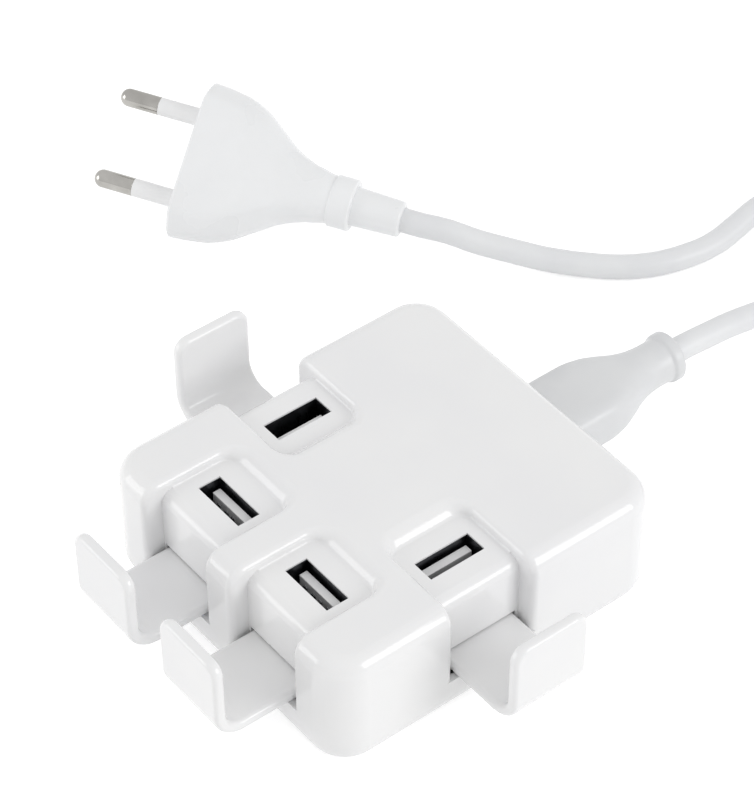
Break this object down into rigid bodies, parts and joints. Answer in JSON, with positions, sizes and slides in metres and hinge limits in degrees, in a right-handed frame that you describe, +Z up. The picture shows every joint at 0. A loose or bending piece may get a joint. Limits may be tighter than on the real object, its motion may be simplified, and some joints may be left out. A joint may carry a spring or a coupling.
{
  "type": "usb charging station",
  "caption": "White desktop USB charging station with sunk upright sockets, slide-out device holders, and a detachable mains lead with a two-pin plug.",
  "frame": {"origin": "The centre of the underside of the base pad, on the table.", "axes": "+Z is up. +Y points from the front sockets to the mains inlet. +X points to the right side, seen from the front."},
  "size_m": [0.1928, 0.2627, 0.0302],
  "materials": {
    "white_gloss": "glossy moulded",
    "white_vinyl": "satin moulded",
    "pad_rubber": "fine texture",
    "bright_metal": "bright nickel plate",
    "board_green": "solder mask",
    "pale_plastic": "plain moulded",
    "contact_brass": "plain",
    "dark_plastic": "plain moulded",
    "wire_brown": "extruded",
    "wire_red": "extruded",
    "winding_tape": "tape"
  },
  "bodies": {
    "charger": {"housing": "white_gloss", "base_tray": "white_gloss", "base_pad": "pad_rubber", "base_screws": "bright_metal", "slide_plate": "pale_plastic", "plate_screws": "bright_metal", "usb_board": "board_green", "left_socket_shell": "bright_metal", "front_left_socket_shell": "bright_metal", "front_right_socket_shell": "bright_metal", "right_socket_shell": "bright_metal", "left_socket_tongue": "pale_plastic", "front_left_socket_tongue": "pale_plastic", "front_right_socket_tongue": "pale_plastic", "right_socket_tongue": "pale_plastic", "socket_contacts": "contact_brass", "power_board": "board_green", "transformer_core": "dark_plastic", "transformer_winding": "winding_tape", "mains_capacitor": "dark_plastic", "output_capacitors": "dark_plastic", "fuse": "pale_plastic", "rectifier": "dark_plastic", "board_leads": "wire_red", "inlet_socket": "dark_plastic", "inlet_pins": "bright_metal", "mains_leads": "wire_brown", "connector_core": "pale_plastic", "connector_sleeves": "contact_brass", "connector_grip": "white_vinyl", "lead_near": "white_vinyl", "lead_coil": "white_vinyl", "coil_tie": "dark_plastic", "lead_far": "white_vinyl", "plug_body": "white_vinyl", "plug_boot": "white_vinyl", "plug_pins": "bright_metal", "plug_sleeves": "pale_plastic"},
    "left_holder": {"left_holder": "white_gloss"},
    "front_left_holder": {"front_left_holder": "white_gloss"},
    "front_right_holder": {"front_right_holder": "white_gloss"},
    "right_holder": {"right_holder": "white_gloss"}
  },
  "joints": [
    {"name": "left_slide", "type": "slide", "parent": "charger", "child": "left_holder", "axis": [-1, 0, 0], "range_m": [-0.0155, 0]},
    {"name": "front_left_slide", "type": "slide", "parent": "charger", "child": "front_left_holder", "axis": [0, -1, 0], "range_m": [-0.0155, 0]},
    {"name": "front_right_slide", "type": "slide", "parent": "charger", "child": "front_right_holder", "axis": [0, -1, 0], "range_m": [-0.0155, 0]},
    {"name": "right_slide", "type": "slide", "parent": "charger", "child": "right_holder", "axis": [1, 0, 0], "range_m": [-0.0155, 0]}
  ]
}
